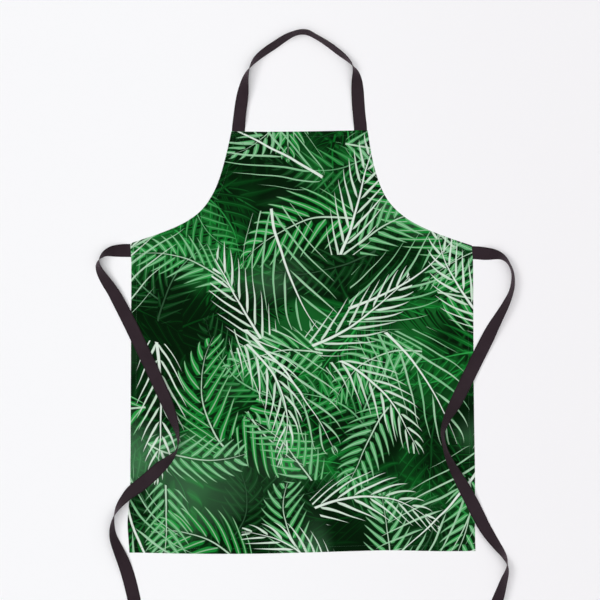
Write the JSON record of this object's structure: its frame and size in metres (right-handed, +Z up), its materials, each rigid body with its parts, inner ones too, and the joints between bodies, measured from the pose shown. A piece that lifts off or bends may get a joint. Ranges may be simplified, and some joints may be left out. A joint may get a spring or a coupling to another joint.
{
  "type": "bib apron",
  "caption": "Bib apron laid flat: a printed cloth panel with turned hems, a neck strap loop that folds over the bib, and two woven waist ties that swing out from their first bend.",
  "frame": {"origin": "on the table under the middle of the panel and neck strap together", "axes": "+Y from the bottom hem to the neck strap, +X to the right of the printed face as it is looked at, +Z up from the table, out of the printed face"},
  "size_m": [0.8034, 1.2261, 0.0271],
  "materials": {
    "printed_cloth": "plain-woven polyester, printed on the face, matt",
    "woven_tape": "dark woven tape, matt with a faint rib",
    "thread": "sewing thread, satin"
  },
  "bodies": {
    "apron": {"panel": "printed_cloth", "bib_hem": "printed_cloth", "armhole_hem_left": "printed_cloth", "armhole_hem_right": "printed_cloth", "side_hem_left": "printed_cloth", "side_hem_right": "printed_cloth", "bottom_hem": "printed_cloth", "hem_stitching": "thread", "neck_tail_left": "woven_tape", "neck_tail_right": "woven_tape", "neck_tack_left": "thread", "neck_tack_right": "thread", "tie_tail_left": "woven_tape", "tie_tail_right": "woven_tape", "tie_tack_left": "thread", "tie_tack_right": "thread"},
    "neck_loop": {"neck_strap": "woven_tape"},
    "left_tie": {"tie_left": "woven_tape"},
    "right_tie": {"tie_right": "woven_tape"}
  },
  "joints": [
    {"name": "neck_loop_fold", "type": "hinge", "parent": "apron", "child": "neck_loop", "pos_m": [0, 0.31, 0.0015], "axis": [1, 0, 0], "range_deg": [0, 160]},
    {"name": "left_tie_swing", "type": "hinge", "parent": "apron", "child": "left_tie", "pos_m": [-0.3845, 0.0655, 0], "axis": [0, 0, -1], "range_deg": [0, 90]},
    {"name": "right_tie_swing", "type": "hinge", "parent": "apron", "child": "right_tie", "pos_m": [0.4, 0.0505, 0], "axis": [0, 0, 1], "range_deg": [0, 90]}
  ]
}
